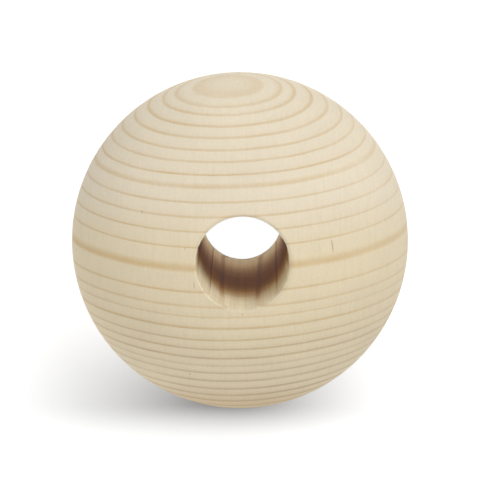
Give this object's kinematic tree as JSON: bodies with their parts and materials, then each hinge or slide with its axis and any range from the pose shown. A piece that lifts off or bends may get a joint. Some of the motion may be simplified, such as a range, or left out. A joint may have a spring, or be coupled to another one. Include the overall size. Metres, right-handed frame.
{
  "type": "wooden bead",
  "caption": "Large turned softwood ball with a bore drilled right through it and softly rounded mouths, to thread on a cord, rod or dowel.",
  "frame": {"origin": "centre of the ball", "axes": "+Z runs along the bore; +X points from the ball's centre to the bore's axis, which lies 0.5 mm off it; +Y points across the growth rings, towards the tree's heart"},
  "size_m": [0.07, 0.07, 0.0676],
  "materials": {
    "bare_wood": "fine-sanded bare softwood, with narrow brown latewood lines in wide arcs across the ball, end grain at the mouths, and a darker, drilled bore"
  },
  "bodies": {
    "root": {"bead": "bare_wood"}
  },
  "joints": []
}
